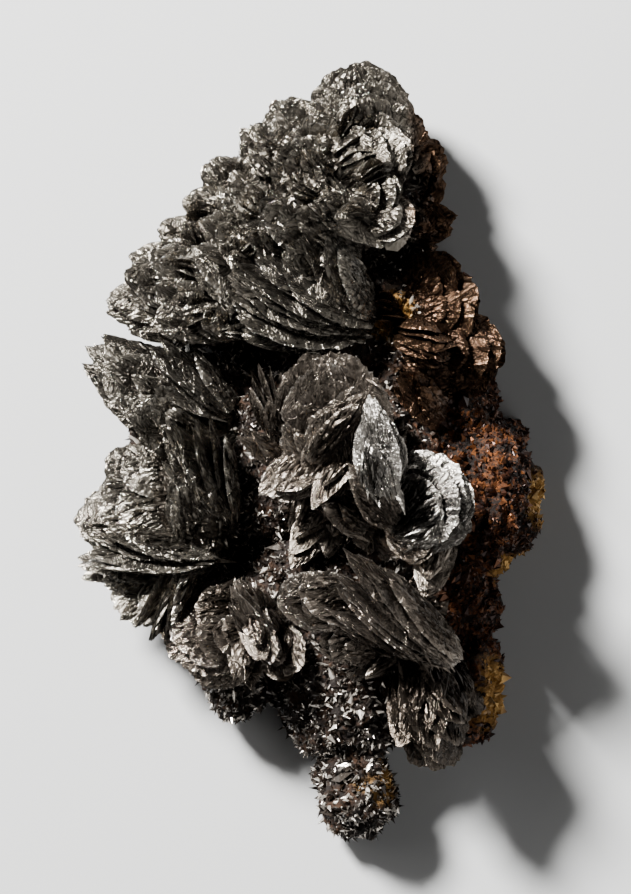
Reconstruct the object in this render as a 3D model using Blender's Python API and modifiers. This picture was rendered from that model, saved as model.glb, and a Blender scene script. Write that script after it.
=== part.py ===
"""A descloizite specimen: seven sheaves of dark, leaf-shaped crystals grown out of a rusty brown matrix.

The specimen lies on the flat back of its matrix, so +Z points away from that back, through the crystals.
+Y runs along its length, from the narrow stalk to the crown of crystals, and +X from the crystals' long
left flank to the bare matrix on the right. The origin is the middle of the box around it, at its back.
Every crystal is a sheaf of thin plates, which share a root and fan out towards their tips.
"""

import math
from collections import namedtuple

import bmesh
import bpy
from mathutils import Matrix, Vector, noise

MM = 0.001
SEAT_GAP = 0.5  # mm, how far the cutters that part the pieces stand out from what they copy
ROCK_VOXEL = 1.2  # mm, the grid on which the matrix's lumps grow together
CRYSTAL_VOXEL = 0.6  # mm, the same for the plates of a sheaf
PLATE_OVERLAP = 1.5  # a plate's thickness over its share of the sheaf, so that neighbours fuse
PLATE_REACH = 1.045  # a plate's length over the sheaf's, which growing together wears back
PLATE_CORNERS = 10

# root and tip in mm, face is the way that the plates face, width and thick are the sheaf's in mm,
# plates is how many it has, lean is the angle in degrees that the outer ones lean away by,
# bow curls the tip and dish the sides (shares of the size), point is 0 for a round tip, 0.5 for a sharp one
Sheaf = namedtuple("Sheaf", "root tip face width thick plates lean bow dish point")
Lump = namedtuple("Lump", "centre radii")

MATRIX = [
    Lump((4, 36, 4), (14.5, 14.5, 12)),
    Lump((-8, 23, 4), (13, 9, 11.5)),
    Lump((9, 18, 4), (15, 14, 14)),
    Lump((4, 1, 5), (19, 17, 14.5)),
    Lump((-15, -3, 4), (10.5, 17, 11)),
    Lump((7, -18, 5), (17, 13, 13)),
    Lump((-9, -24, 4), (9, 9, 10)),
    Lump((-9.5, -33, 5), (4.8, 4.8, 6.5)),
    Lump((24.5, -6, 5), (8.8, 12.5, 12)),
    Lump((20, 8, 4), (8, 9, 11)),
    Lump((22, -20, 5), (5.8, 8, 9)),
    Lump((23.5, -33, 4), (5.2, 7.6, 9)),
    Lump((8, -33, 5), (12.5, 10.5, 11.5)),
    Lump((8, -46.5, 5), (5.4, 8.6, 7.5)),
]

CROWN = [
    Sheaf((9, 40, 14), (8, 55, 16), (0.1, 0.3, 1), 14, 9, 3, 14, -0.05, 0.06, 0),
    Sheaf((6, 38, 14), (-3.5, 49.5, 17), (-0.2, 0.3, 1), 10, 6, 2, 10, -0.05, 0.06, 0),
    Sheaf((2, 35, 14), (-8.5, 46, 16), (-0.2, 0.3, 1), 9, 5, 2, 10, -0.05, 0.06, 0.2),
    Sheaf((-1.6, 33, 13.4), (-13.6, 41.3, 16), (-0.1, 0.3, 1), 8, 4.5, 2, 8, -0.04, 0.05, 0.1),
    Sheaf((-4, 30, 14), (-17, 36.8, 16), (-0.1, 0.3, 1), 8, 4.5, 2, 8, -0.04, 0.05, 0.1),
    Sheaf((-6, 27, 14), (-20.6, 32.3, 15), (-0.1, 0.4, 1), 8.5, 4.5, 2, 8, -0.04, 0.05, 0.05),
    Sheaf((-8, 25, 14), (-24.2, 28.2, 15), (-0.2, 0.4, 1), 8.5, 5, 2, 8, -0.04, 0.05, 0.05),
    Sheaf((-10, 22, 14), (-28.5, 22.3, 15), (-0.1, 0.3, 1), 9, 6, 2, 8, -0.03, 0.05, 0.25),
    Sheaf((-10, 21, 14), (-25, 17.6, 15), (-0.1, 0, 1), 7, 5, 2, 8, -0.04, 0.05, 0.2),
    Sheaf((8, 40, 13), (16.6, 47.5, 14), (0.5, 0, 1), 10, 7, 2, 10, -0.06, 0.06, 0),
    Sheaf((10, 38, 10), (20.6, 42.6, 9), (0.5, 0, 1), 9, 7, 2, 10, -0.06, 0.06, 0),
    Sheaf((10, 36, 9), (20.8, 37.6, 8), (0.5, -0.1, 1), 6, 6, 2, 10, -0.06, 0.06, 0),
    Sheaf((10, 32, 9), (21.8, 32.4, 9), (0.3, -0.4, 1), 7, 6, 2, 10, -0.05, 0.06, 0.2),
    Sheaf((3, 35, 17), (13, 45.6, 22), (-0.4, 0.3, 0.9), 11, 8, 3, 14, -0.08, 0.08, 0),
    Sheaf((15, 32, 19), (2.5, 34.6, 27), (0, 0.4, 1), 8, 5, 2, 8, -0.04, 0.06, 0.2),
    Sheaf((6, 34, 18), (-3.5, 42.3, 25), (-0.1, 0.3, 1), 9, 5, 2, 8, -0.04, 0.06, 0),
    Sheaf((8, 28, 18), (-4.5, 36, 28), (-0.1, 0.2, 1), 8, 5, 2, 8, -0.05, 0.06, 0),
    Sheaf((-2, 27, 17), (-13.5, 32.5, 24), (-0.3, 0.3, 1), 6.5, 5, 2, 8, -0.05, 0.06, 0),
    Sheaf((-2, 32, 17), (-11, 38, 22), (-0.2, 0.4, 1), 7, 4, 2, 8, -0.05, 0.06, 0.1),
    Sheaf((-7, 22, 16), (-21, 29, 21), (-0.3, 0.3, 1), 8, 5, 2, 8, -0.05, 0.06, 0),
    Sheaf((-3, 21, 19), (-15.5, 28, 25), (-0.2, 0.6, 0.8), 9, 5, 2, 10, -0.05, 0.06, 0.1),
    Sheaf((-8, 20, 17), (-21, 19, 23), (-0.1, 0.2, 1), 8, 6, 2, 8, -0.05, 0.06, 0.1),
    Sheaf((-6, 19, 18), (-14, 17.4, 25), (0.1, 0, 1), 6, 4, 2, 8, -0.05, 0.06, 0.1),
    Sheaf((10, 19, 17), (-11, 23.5, 26), (-0.05, 0.72, 0.7), 12, 9, 4, 13, 0.02, 0.05, 0.05),
    Sheaf((10, 20, 18), (-1.5, 29.6, 27), (-0.3, 0.65, 0.75), 10, 7, 3, 12, -0.02, 0.06, 0),
    Sheaf((9, 17.5, 15), (-9.5, 17, 23), (0, 0.6, 0.75), 7, 5, 3, 10, 0.02, 0.05, 0.05),
    Sheaf((-1, 30, 18), (-7.5, 31, 26), (-0.2, 0.3, 1), 6.5, 4, 2, 8, -0.05, 0.06, 0),
    Sheaf((2, 40, 17), (2, 47.5, 22), (-0.1, 0.2, 1), 7, 4, 2, 8, -0.05, 0.06, 0),
]

SHOULDER = [
    Sheaf((13, 20, 12), (21.5, 27, 17), (0.2, 0.3, 1), 9, 6, 2, 10, -0.05, 0.06, 0),
    Sheaf((14, 18, 12), (25, 21.6, 17), (0.3, 0.2, 1), 9, 7, 2, 10, -0.05, 0.06, 0),
    Sheaf((15, 14, 12), (28.6, 14, 16), (0.2, 0.1, 1), 11, 8, 3, 12, -0.05, 0.06, 0),
    Sheaf((15, 13, 12), (26.5, 9.4, 16), (0, -0.5, 0.8), 7, 5, 2, 10, -0.05, 0.06, 0),
    Sheaf((15, 18, 13), (19, 14, 25), (0.3, 0.4, 0.8), 8, 6, 2, 10, -0.05, 0.06, 0.1),
    Sheaf((20, 5, 14), (14, 11.4, 22), (0.3, 0.2, 1), 6, 4, 2, 8, -0.03, 0.04, 0.5),
    Sheaf((11, 20, 13), (12.5, 20.5, 22), (0.2, 0.7, 0.3), 6, 4, 2, 12, 0, 0.04, 0.2),
]

LEFT = [
    Sheaf((-14, 4, 13), (-30.8, 14.8, 15), (0.1, 0.3, 1), 12, 7, 3, 8, -0.03, 0.05, 0.5),
    Sheaf((-10, 6, 16), (-21.5, 15, 20), (0.55, 0.75, 0.5), 7, 6, 3, 9, 0.03, 0.04, 0.2),
    Sheaf((-13, 0, 15), (-22, 7, 23), (-0.3, 0.4, 0.8), 7, 5, 2, 8, -0.06, 0.08, 0),
    Sheaf((-10, -9, 15), (-18.5, 5.4, 24), (0.85, 0.4, 0.35), 9, 8, 3, 12, 0.03, 0.05, 0.3),
    Sheaf((-14, -3, 12), (-28.2, -3.4, 15), (-0.2, 0.35, 0.9), 9, 6, 2, 8, -0.06, 0.08, 0),
    Sheaf((-14, -7, 12), (-31.6, -11, 15), (-0.1, 0.3, 1), 12, 7, 3, 8, -0.06, 0.08, 0),
    Sheaf((-12, -14, 14), (-31, -15, 18), (0.05, 0.85, 0.5), 9, 6, 3, 10, 0.03, 0.05, 0.2),
    Sheaf((-16, -14, 12), (-33.2, -16.5, 13), (0, 0.2, 1), 5, 4, 2, 8, -0.04, 0.05, 0.2),
    Sheaf((-15, -12, 12), (-28, -19.5, 15), (-0.3, 0, 1), 6.5, 5, 2, 8, -0.05, 0.08, 0),
    Sheaf((-16, -14, 12), (-25.2, -24.6, 15), (-0.3, 0, 1), 6.5, 5, 2, 8, -0.05, 0.08, 0.1),
    Sheaf((-15, -13, 14), (-21.5, -27, 18), (0.8, -0.2, 0.45), 6, 5, 2, 8, -0.03, 0.05, 0.2),
    Sheaf((-14, -13, 15), (-18.5, -3.5, 21), (0.1, 0.2, 1), 6.5, 4, 2, 8, -0.03, 0.05, 0.3),
    Sheaf((-16, 2, 17), (-21.5, 7.5, 22), (-0.4, 0.2, 0.9), 6, 4, 2, 8, -0.06, 0.08, 0),
]

LOWER_LEFT = [
    Sheaf((-6, -22, 13), (-19.6, -27, 17), (-0.2, 0.2, 1), 14, 7, 3, 10, -0.06, 0.07, 0),
    Sheaf((-6, -24, 13), (-14.5, -32.8, 15), (-0.3, 0, 1), 8, 5, 2, 8, -0.05, 0.07, 0),
    Sheaf((-4, -30, 18), (-10.8, -17.8, 26), (-0.5, -0.1, 0.8), 5, 3.5, 2, 6, -0.03, 0.06, 0.4),
    Sheaf((-9, -18, 18), (-4.8, -29.8, 25), (0.2, 0.1, 1), 4.5, 3.5, 2, 6, -0.03, 0.06, 0),
    Sheaf((-8, -22, 16), (-8.6, -33, 22), (0.3, -0.3, 0.9), 4.5, 3.5, 2, 6, -0.04, 0.06, 0.1),
    Sheaf((-4, -24, 14), (-2, -31.8, 20), (0, -0.4, 0.9), 6.5, 4, 2, 6, -0.04, 0.06, 0),
    Sheaf((-4, -27, 14), (-7, -18.4, 22), (0.6, 0.2, 0.7), 6, 4, 2, 8, -0.04, 0.06, 0.3),
    Sheaf((-6, -25, 15), (-14.5, -26, 22), (-0.1, 0.1, 1), 7, 4, 2, 8, -0.04, 0.06, 0),
]

CENTRE = [
    Sheaf((5, -6, 25), (4, 13.8, 33), (-0.15, 0.15, 1), 15.5, 9, 3, 7, -0.04, 0.05, 0),
    Sheaf((1.2, -1.5, 30), (8.3, 9, 35.5), (0.35, -0.15, 0.95), 6, 3, 2, 5, -0.03, 0.05, 0.15),
    Sheaf((11, -6, 34.6), (10, 8, 35), (-0.35, 0.25, 0.9), 7.5, 5, 2, 8, -0.05, 0.08, 0.4),
    Sheaf((11.8, -6, 29), (13, 6, 35), (0.6, 0, 0.8), 6, 4.5, 3, 8, -0.04, 0.08, 0.4),
    Sheaf((12.8, -10, 29), (6.8, -1.4, 34.5), (-0.1, 0, 1), 5.5, 4, 2, 8, -0.04, 0.06, 0.4),
    Sheaf((12.5, -11, 26.5), (22.2, -2.4, 29.5), (-0.4, 0.1, 1), 14, 8, 3, 10, -0.06, 0.07, 0),
    Sheaf((12, -10, 23), (18.4, -13, 29), (0, -0.2, 1), 7, 4, 2, 8, -0.06, 0.07, 0),
    Sheaf((20, -8, 23), (17.5, -20, 25), (0, 0, 1), 5.5, 4, 2, 6, -0.02, 0.05, 0.1),
    Sheaf((-2, 0, 24), (-4, 9.8, 31), (-0.4, 0, 1), 4.4, 3.5, 2, 6, -0.04, 0.06, 0.2),
    Sheaf((-3, 1, 20), (-6.8, 12, 29), (-0.75, 0.4, 0.5), 7, 4, 2, 8, -0.08, 0.1, 0.1),
    Sheaf((-1, -2, 21), (-9, 3.2, 26.5), (-0.2, 0.3, 1), 4, 3, 2, 6, -0.04, 0.06, 0.5),
    Sheaf((3, -1.5, 27), (-3.6, 3.2, 31.5), (-0.2, 0, 1), 4, 2.5, 2, 6, -0.04, 0.06, 0.3),
    Sheaf((4, 1, 24), (-5.4, -6.2, 28), (-0.35, 0.4, 0.9), 8, 4.5, 2, 8, -0.04, 0.06, 0.2),
    Sheaf((6.5, 0.5, 28), (1.2, -7.6, 31), (-0.4, 0.25, 0.9), 4.6, 3.5, 2, 6, -0.04, 0.06, 0.3),
    Sheaf((1, -3, 24), (-2, -10.5, 28.5), (0.8, -0.3, 0.4), 4, 2.2, 2, 4, -0.04, 0.06, 0.4),
    Sheaf((9, -11, 22), (2.8, -7, 28), (0, 0.2, 1), 4.5, 3, 2, 6, -0.04, 0.06, 0.4),
    Sheaf((4, -6, 17), (-2, -16, 20), (-0.3, 0.1, 1), 6, 4, 2, 8, -0.04, 0.06, 0.3),
    Sheaf((5, -5, 17), (3.8, -15, 19), (0.3, 0, 1), 5.5, 4, 2, 8, -0.04, 0.06, 0.2),
    Sheaf((8, -6, 18), (8.6, -14.5, 21), (-0.3, 0, 1), 5.5, 4, 2, 8, -0.04, 0.06, 0.2),
    Sheaf((10, -7, 18), (13.5, -15.5, 20), (0.2, -0.1, 1), 5.5, 4, 2, 8, -0.04, 0.06, 0.2),
]

SLAB = [
    Sheaf((9, -21, 22), (-3, -19.6, 28), (-0.1, 0.35, 0.95), 9, 6, 3, 8, -0.05, 0.07, 0),
    Sheaf((22, -29, 22), (4.5, -15.4, 32), (0.5, 0.65, 0.6), 9, 7, 3, 7, 0.02, 0.05, 0.3),
    Sheaf((17, -28, 21), (3.6, -21.6, 29), (0.4, 0.75, 0.5), 7, 5.5, 2, 9, 0.02, 0.05, 0.3),
    Sheaf((14, -26, 18), (2.8, -26.6, 25), (0, -0.2, 1), 7, 4, 2, 6, -0.04, 0.06, 0),
    Sheaf((14, -27, 17), (6, -32.6, 23), (0.1, -0.5, 0.8), 4, 3.5, 2, 6, -0.04, 0.06, 0.2),
]

BLOCK = [
    Sheaf((17, -28, 14), (19.5, -44.6, 18), (0.75, 0.15, 0.65), 12, 10, 4, 14, -0.02, 0.04, 0),
    Sheaf((17, -27, 16), (15, -42, 21), (-0.3, 0, 1), 7, 5, 2, 6, -0.03, 0.05, 0),
    Sheaf((19, -28, 13), (24.6, -38, 15), (0.6, 0, 0.8), 7, 5, 2, 8, -0.03, 0.05, 0.1),
]


def below(sheaf, down):
    """The sheaf that grows under this one, on the flank of the matrix: shorter, and facing outwards."""
    root, tip, face = Vector(sheaf.root), Vector(sheaf.tip), Vector(sheaf.face)
    out = tip - root
    out.z = 0
    root.z -= down
    tip = root + out * 0.9
    tip.z = max(sheaf.tip[2] - down * 1.15, sheaf.thick * 0.5 + 1)
    face = face.normalized() * 0.6 + out.normalized() * 0.8
    return sheaf._replace(root=tuple(root), tip=tuple(tip), face=tuple(face))


CROWN += [below(sheaf, 6) for sheaf in CROWN[:13]]
SHOULDER += [below(sheaf, 6) for sheaf in SHOULDER[:4]]
LEFT += [below(LEFT[i], 5.5) for i in (0, 4, 5, 8, 9)]
LOWER_LEFT += [below(sheaf, 6) for sheaf in LOWER_LEFT[:2]]

# A cluster is one node: its crystals, the lumps that they grow from, its colour and how many facets it has
Cluster = namedtuple("Cluster", "name sheaves hubs colour facets")
CLUSTERS = [
    Cluster("centre_crystals", CENTRE, [Lump((7, -2, 20), (10, 9, 9))], (0.17, 0.155, 0.14), 1600),
    Cluster("crown_crystals", CROWN, [Lump((4, 35, 14), (11, 11, 8)), Lump((-5, 23, 14), (11, 6, 8))],
            (0.22, 0.205, 0.185), 2320),
    Cluster("shoulder_crystals", SHOULDER, [Lump((17, 14, 13), (7, 8, 6))], (0.12, 0.085, 0.06), 650),
    Cluster("left_crystals", LEFT, [Lump((-15, -4, 13), (7, 13, 7))], (0.2, 0.19, 0.17), 1250),
    Cluster("lower_left_crystals", LOWER_LEFT, [Lump((-7, -25, 13), (6, 5.5, 6))], (0.17, 0.155, 0.14), 700),
    Cluster("slab_crystals", SLAB, [Lump((12, -23, 17), (8, 5, 8))], (0.16, 0.145, 0.125), 500),
    Cluster("block_crystals", BLOCK, [Lump((18, -33, 12), (4.5, 6.5, 5.5))], (0.14, 0.125, 0.105), 400),
]
MATRIX_FACETS = 1600


def clear_scene():
    for thing in list(bpy.data.objects):
        bpy.data.objects.remove(thing)


def collection_named(name):
    found = bpy.data.collections.new(name)
    bpy.context.scene.collection.children.link(found)
    return found


def material(name, colour, roughness, metallic):
    made = bpy.data.materials.new(name)
    made.use_nodes = True
    surface = made.node_tree.nodes["Principled BSDF"]
    surface.inputs["Base Color"].default_value = (*colour, 1)
    surface.inputs["Roughness"].default_value = roughness
    surface.inputs["Metallic"].default_value = metallic
    return made


def object_from(mesh_in_mm, name, collection):
    """Turns a bmesh in millimetres into an object in metres."""
    bmesh.ops.scale(mesh_in_mm, vec=(MM, MM, MM), verts=mesh_in_mm.verts)
    mesh = bpy.data.meshes.new(name)
    mesh_in_mm.to_mesh(mesh)
    mesh_in_mm.free()
    made = bpy.data.objects.new(name, mesh)
    collection.objects.link(made)
    return made


def add_lump(mesh, lump, grow=0.0, detail=2):
    """A rounded growth centre, its surface pushed in and out a little."""
    made = bmesh.ops.create_icosphere(mesh, subdivisions=detail, radius=1.0)
    centre, radii = Vector(lump.centre), Vector(lump.radii)
    for vertex in made["verts"]:
        place = Vector(a * b for a, b in zip(vertex.co, radii))
        swell = 1 + 0.12 * noise.noise((centre + place) * 0.16)
        vertex.co = centre + place * swell + vertex.co * grow


def leaf_taper(share, point):
    """How wide a leaf is at this share of its length, over a round plate's width there."""
    widest = 0.5 / (1 + point)
    most = 2 * widest**0.5 * (1 - widest) ** (0.5 + point)
    return (1 - share) ** point / most


def add_plate(mesh, sheaf, number, grow=0.0):
    """One plate of a sheaf: a flat-sided lens in the outline of a leaf. grow thickens it all round."""
    root, tip = Vector(sheaf.root), Vector(sheaf.tip)
    along = (tip - root).normalized()
    facing = Vector(sheaf.face)
    normal = (facing - along * facing.dot(along)).normalized()
    across = normal.cross(along)
    side = 2 * (number + 0.5) / sheaf.plates - 1
    size = math.sqrt(1 - 0.55 * side * side)
    length = (tip - root).length * size * PLATE_REACH
    thick = sheaf.thick / sheaf.plates * PLATE_OVERLAP
    lean = Matrix.Rotation(math.radians(-sheaf.lean * side), 3, across)
    made = bmesh.ops.create_uvsphere(mesh, u_segments=PLATE_CORNERS, v_segments=3, radius=1.0)
    for vertex in made["verts"]:
        x, y, z = vertex.co
        share = min(max((x + 1) / 2, 0), 1)
        reach = length * share + grow * x
        spread = y * (sheaf.width / 2 * size * leaf_taper(share, sheaf.point) + grow)
        lift = z * (thick / 2 + grow) + side * sheaf.thick / 2 * (0.4 + 0.6 * share) * 0.6
        lift += sheaf.bow * length * share * share - sheaf.dish * sheaf.width * y * y
        vertex.co = root + lean @ (along * reach + across * spread + normal * lift)


def cluster_mesh(cluster, grow=0.0):
    mesh = bmesh.new()
    for hub in cluster.hubs:
        add_lump(mesh, hub, grow, detail=2)
    for sheaf in cluster.sheaves:
        for number in range(sheaf.plates):
            add_plate(mesh, sheaf, number, grow)
    return mesh


def cut_away(target, cutter):
    modifier = target.modifiers.new("cut_by_" + cutter.name, "BOOLEAN")
    modifier.operation = "DIFFERENCE"
    modifier.solver = "EXACT"
    modifier.object = cutter


def grow_together(thing, voxel):
    """Fuses the shapes in one mesh into one skin."""
    remesh = thing.modifiers.new("grow_together", "REMESH")
    remesh.mode = "VOXEL"
    remesh.voxel_size = voxel * MM
    apply_all(thing)


def roughen(thing, lumps, chips):
    """Breaks up a rock's skin: lumps and chips are how far its larger and smaller bumps stand, in mm."""
    mesh = bmesh.new()
    mesh.from_mesh(thing.data)
    mesh.normal_update()
    for vertex in mesh.verts:
        place = vertex.co / MM
        bump = lumps * (noise.noise(place * 0.19) - 0.35 * abs(noise.noise(place * 0.33 + Vector((9, 2, 5)))))
        bump += chips * noise.noise(place * 0.75)
        vertex.co += vertex.normal * bump * MM
    mesh.to_mesh(thing.data)
    mesh.free()


def flat_facets(thing, facets):
    """Reduces a skin to about that many flat facets."""
    triangles = sum(len(face.vertices) - 2 for face in thing.data.polygons)
    collapse = thing.modifiers.new("facets", "DECIMATE")
    collapse.ratio = facets / triangles
    apply_all(thing)


def evaluated_mesh(thing):
    bpy.context.view_layer.update()
    graph = bpy.context.evaluated_depsgraph_get()
    return bpy.data.meshes.new_from_object(thing.evaluated_get(graph))


def guide(thing):
    thing.hide_render = True
    thing.display_type = "WIRE"
    return thing


def apply_all(thing):
    thing.data = evaluated_mesh(thing)
    thing.modifiers.clear()


def keep_largest_piece(thing):
    """Drops the chips that a cut leaves loose."""
    mesh = bmesh.new()
    mesh.from_mesh(thing.data)
    left, pieces = set(mesh.verts), []
    while left:
        todo, piece = [left.pop()], []
        while todo:
            vertex = todo.pop()
            piece.append(vertex)
            for edge in vertex.link_edges:
                other = edge.other_vert(vertex)
                if other in left:
                    left.remove(other)
                    todo.append(other)
        pieces.append(piece)
    pieces.sort(key=len)
    for piece in pieces[:-1]:
        print(thing.name, "drops", len(piece), "of", len(mesh.verts))
        bmesh.ops.delete(mesh, geom=piece, context="VERTS")
    mesh.to_mesh(thing.data)
    mesh.free()


def make_rock(parts, cutters):
    """The matrix: lumps grown into one rough rock, cut flat at its back."""
    mesh = bmesh.new()
    for lump in MATRIX:
        add_lump(mesh, lump, detail=3)
    rock = object_from(mesh, "matrix", parts)
    grow_together(rock, ROCK_VOXEL)
    roughen(rock, 2.2, 0.9)
    flat_facets(rock, MATRIX_FACETS)
    mesh = bmesh.new()
    bmesh.ops.create_cube(mesh, size=1)
    bmesh.ops.scale(mesh, vec=(120, 160, 60), verts=mesh.verts)
    bmesh.ops.translate(mesh, vec=(0, 0, -30), verts=mesh.verts)
    cut_away(rock, guide(object_from(mesh, "below", cutters)))
    apply_all(rock)
    return rock


def swollen(thing, gap, cutters):
    """A copy whose faces stand out by gap, to cut a seat with."""
    mesh = bmesh.new()
    mesh.from_mesh(thing.data)
    mesh.normal_update()
    moves = [v.normal * min(v.calc_shell_factor(), 2.5) * gap for v in mesh.verts]
    for vertex, move in zip(mesh.verts, moves):
        vertex.co += move
    data = bpy.data.meshes.new(thing.name + "_seat")
    mesh.to_mesh(data)
    mesh.free()
    made = bpy.data.objects.new(data.name, data)
    cutters.objects.link(made)
    return guide(made)


def centre_on_origin(things):
    """Puts the middle of the box around the things on the Z axis."""
    corners = [vertex.co for thing in things for vertex in thing.data.vertices]
    middle = Vector([(min(c[i] for c in corners) + max(c[i] for c in corners)) / 2 for i in (0, 1)] + [0])
    print("the box's middle was at", [round(value / MM, 3) for value in middle], "mm")
    for thing in things:
        thing.data.transform(Matrix.Translation(-middle))


def main():
    clear_scene()
    parts = collection_named("descloizite")
    cutters = collection_named("cutters")
    rock = make_rock(parts, cutters)
    rock.data.materials.append(material("rusty_matrix", (0.12, 0.06, 0.03), 0.7, 0.0))
    gaps = [swollen(rock, SEAT_GAP * MM, cutters)]
    for cluster in CLUSTERS:
        made = object_from(cluster_mesh(cluster), cluster.name, parts)
        grow_together(made, CRYSTAL_VOXEL)
        flat_facets(made, cluster.facets)
        gap = guide(object_from(cluster_mesh(cluster, SEAT_GAP), cluster.name + "_gap", cutters))
        grow_together(gap, CRYSTAL_VOXEL)
        flat_facets(gap, cluster.facets)
        for other in gaps:
            cut_away(made, other)
        apply_all(made)
        keep_largest_piece(made)
        made.data.materials.append(material(cluster.name, cluster.colour, 0.4, 0.6))
        gaps.append(gap)
    centre_on_origin(parts.objects)


main()
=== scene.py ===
"""The looks of a descloizite specimen: rusty matrix, druse, and seven groups of leaf-shaped crystals."""
import math
from collections import namedtuple

import bmesh
import bpy
import numpy as np
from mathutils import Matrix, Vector, noise


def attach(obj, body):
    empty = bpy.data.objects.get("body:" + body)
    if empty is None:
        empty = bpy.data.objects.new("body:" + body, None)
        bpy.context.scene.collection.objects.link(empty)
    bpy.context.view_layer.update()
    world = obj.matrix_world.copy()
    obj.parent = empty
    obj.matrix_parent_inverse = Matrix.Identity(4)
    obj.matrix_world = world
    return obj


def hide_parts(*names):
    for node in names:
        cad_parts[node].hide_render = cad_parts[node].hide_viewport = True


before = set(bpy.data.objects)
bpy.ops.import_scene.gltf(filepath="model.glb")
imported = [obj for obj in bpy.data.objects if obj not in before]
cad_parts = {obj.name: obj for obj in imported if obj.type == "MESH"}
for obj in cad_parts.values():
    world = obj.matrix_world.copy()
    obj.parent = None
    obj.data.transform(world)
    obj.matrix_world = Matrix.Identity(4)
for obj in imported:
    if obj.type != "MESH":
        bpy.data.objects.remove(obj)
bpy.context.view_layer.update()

# ---- Matrix ---------------------------------------------------------------------------------------------
# The rock that everything grew on: rusty brown, knobbly, broken along the right flank and cut flat at its
# back. Lengths are in mm, in the specimen's own frame, whose middle is shifted onto the origin at the end.
MM = 0.001
MIDDLE = np.array([1.211, -0.122, 0.0])
Lump = namedtuple("Lump", "centre radii")
ROCK_LUMPS = [
    Lump((4, 36, 4), (14.5, 14.5, 12)),
    Lump((-8, 23, 4), (13, 9, 11.5)),
    Lump((9, 18, 4), (15, 14, 14)),
    Lump((4, 1, 5), (19, 17, 14.5)),
    Lump((-15, -3, 4), (10.5, 17, 11)),
    Lump((7, -18, 5), (17, 13, 13)),
    Lump((-9, -24, 4), (9, 9, 10)),
    Lump((-9.5, -33, 5), (4.8, 4.8, 6.5)),
    Lump((24.5, -6, 5), (8.8, 12.5, 12)),
    Lump((20, 8, 4), (8, 9, 11)),
    Lump((22, -20, 5), (5.8, 8, 9)),
    Lump((23.5, -33, 4), (5.2, 7.6, 9)),
    Lump((8, -33, 5), (12.5, 10.5, 11.5)),
    Lump((8, -46.5, 5), (5.4, 8.6, 7.5)),
]
ROCK_VOXEL = 0.62  # the grid on which the lumps grow together
# where the rock is stained with ochre: the middle of each spot and how far it reaches
OCHRE_SPOTS = [((26, -34, 8), 6), ((33, -7, 6), 5), ((13, 19, 17), 4), ((30, -16, 6), 4), ((10, -47, 8), 4.5)]
FLANK_FROM, FLANK_FADE = 14, 8  # the X at which the rusty right flank begins, and over how much it sets in
# how thickly small crystals cover the rock, between two X and two Y; elsewhere it is BARE_COVER
BARE_COVER = 0.55
DRUSE_PATCHES = [
    ((-99, 16), (-99, -26), 1.5),  # the lower slope and the stalk
    ((-14, 13), (-24, 17), 1.5),  # between the groups of crystals
    ((-18, 20), (6, 22), 1.0),  # the cleft under the crown
    ((18, 99), (-28, 9), 1.1),  # the flank
]
DRUSE_COUNT = 21000
DRUSE_LENGTH = 0.52  # half of a usual small crystal's length


def mesh_object(name, vertices, faces):
    """Makes an object in metres, in the part's frame, from arrays in the specimen's mm. Its back is flat."""
    placed = (vertices - MIDDLE) * MM
    placed[:, 2] = np.maximum(placed[:, 2], 0)
    mesh = bpy.data.meshes.new(name)
    mesh.from_pydata(placed.tolist(), [], faces.tolist())
    made = bpy.data.objects.new(name, mesh)
    bpy.context.scene.collection.objects.link(made)
    return made


def add_attribute(thing, name, values):
    """A number at every vertex, for the finish to read."""
    layer = thing.data.attributes.new(name, "FLOAT", "POINT")
    layer.data.foreach_set("value", np.asarray(values, dtype=np.float32))


def rock_skin():
    """The matrix's skin, from lumps that grow together, as one bmesh in the specimen's mm."""
    rough = bmesh.new()
    for lump in ROCK_LUMPS:
        made = bmesh.ops.create_icosphere(rough, subdivisions=4, radius=1.0)
        centre, radii = Vector(lump.centre), Vector(lump.radii)
        for vertex in made["verts"]:
            place = Vector(a * b for a, b in zip(vertex.co, radii))
            vertex.co = centre + place * (1 + 0.12 * noise.noise((centre + place) * 0.16))
    mesh = bpy.data.meshes.new("rock_skin")
    rough.to_mesh(mesh)
    rough.free()
    lumps = bpy.data.objects.new("rock_skin", mesh)
    bpy.context.scene.collection.objects.link(lumps)
    grow = lumps.modifiers.new("grow_together", "REMESH")
    grow.mode = "VOXEL"
    grow.voxel_size = ROCK_VOXEL
    bpy.context.view_layer.update()
    skin = bmesh.new()
    skin.from_mesh(lumps.evaluated_get(bpy.context.evaluated_depsgraph_get()).data)
    bpy.data.objects.remove(lumps)
    skin.normal_update()
    for vertex in skin.verts:  # knobs and ledges some 5 mm across, then finer lumps, creases and grit
        place = vertex.co
        bump = 2.2 * (noise.noise(place * 0.19) - 0.35 * abs(noise.noise(place * 0.33 + Vector((9, 2, 5)))))
        bump += 0.9 * noise.noise(place * 0.75)
        bump += 0.55 * (0.4 - abs(noise.noise(place * 0.9 + Vector((3, 8, 1)))) * 2)
        bump += 0.3 * noise.noise(place * 2.3)
        vertex.co = place + vertex.normal * bump
    cut = bmesh.ops.bisect_plane(skin, geom=skin.verts[:] + skin.edges[:] + skin.faces[:], dist=0.0001,
                                 plane_co=(0, 0, 0), plane_no=(0, 0, -1), clear_outer=True)
    rim = [item for item in cut["geom_cut"] if isinstance(item, bmesh.types.BMEdge)]
    bmesh.ops.holes_fill(skin, edges=rim, sides=0)
    bmesh.ops.triangulate(skin, faces=skin.faces)
    return skin


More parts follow.
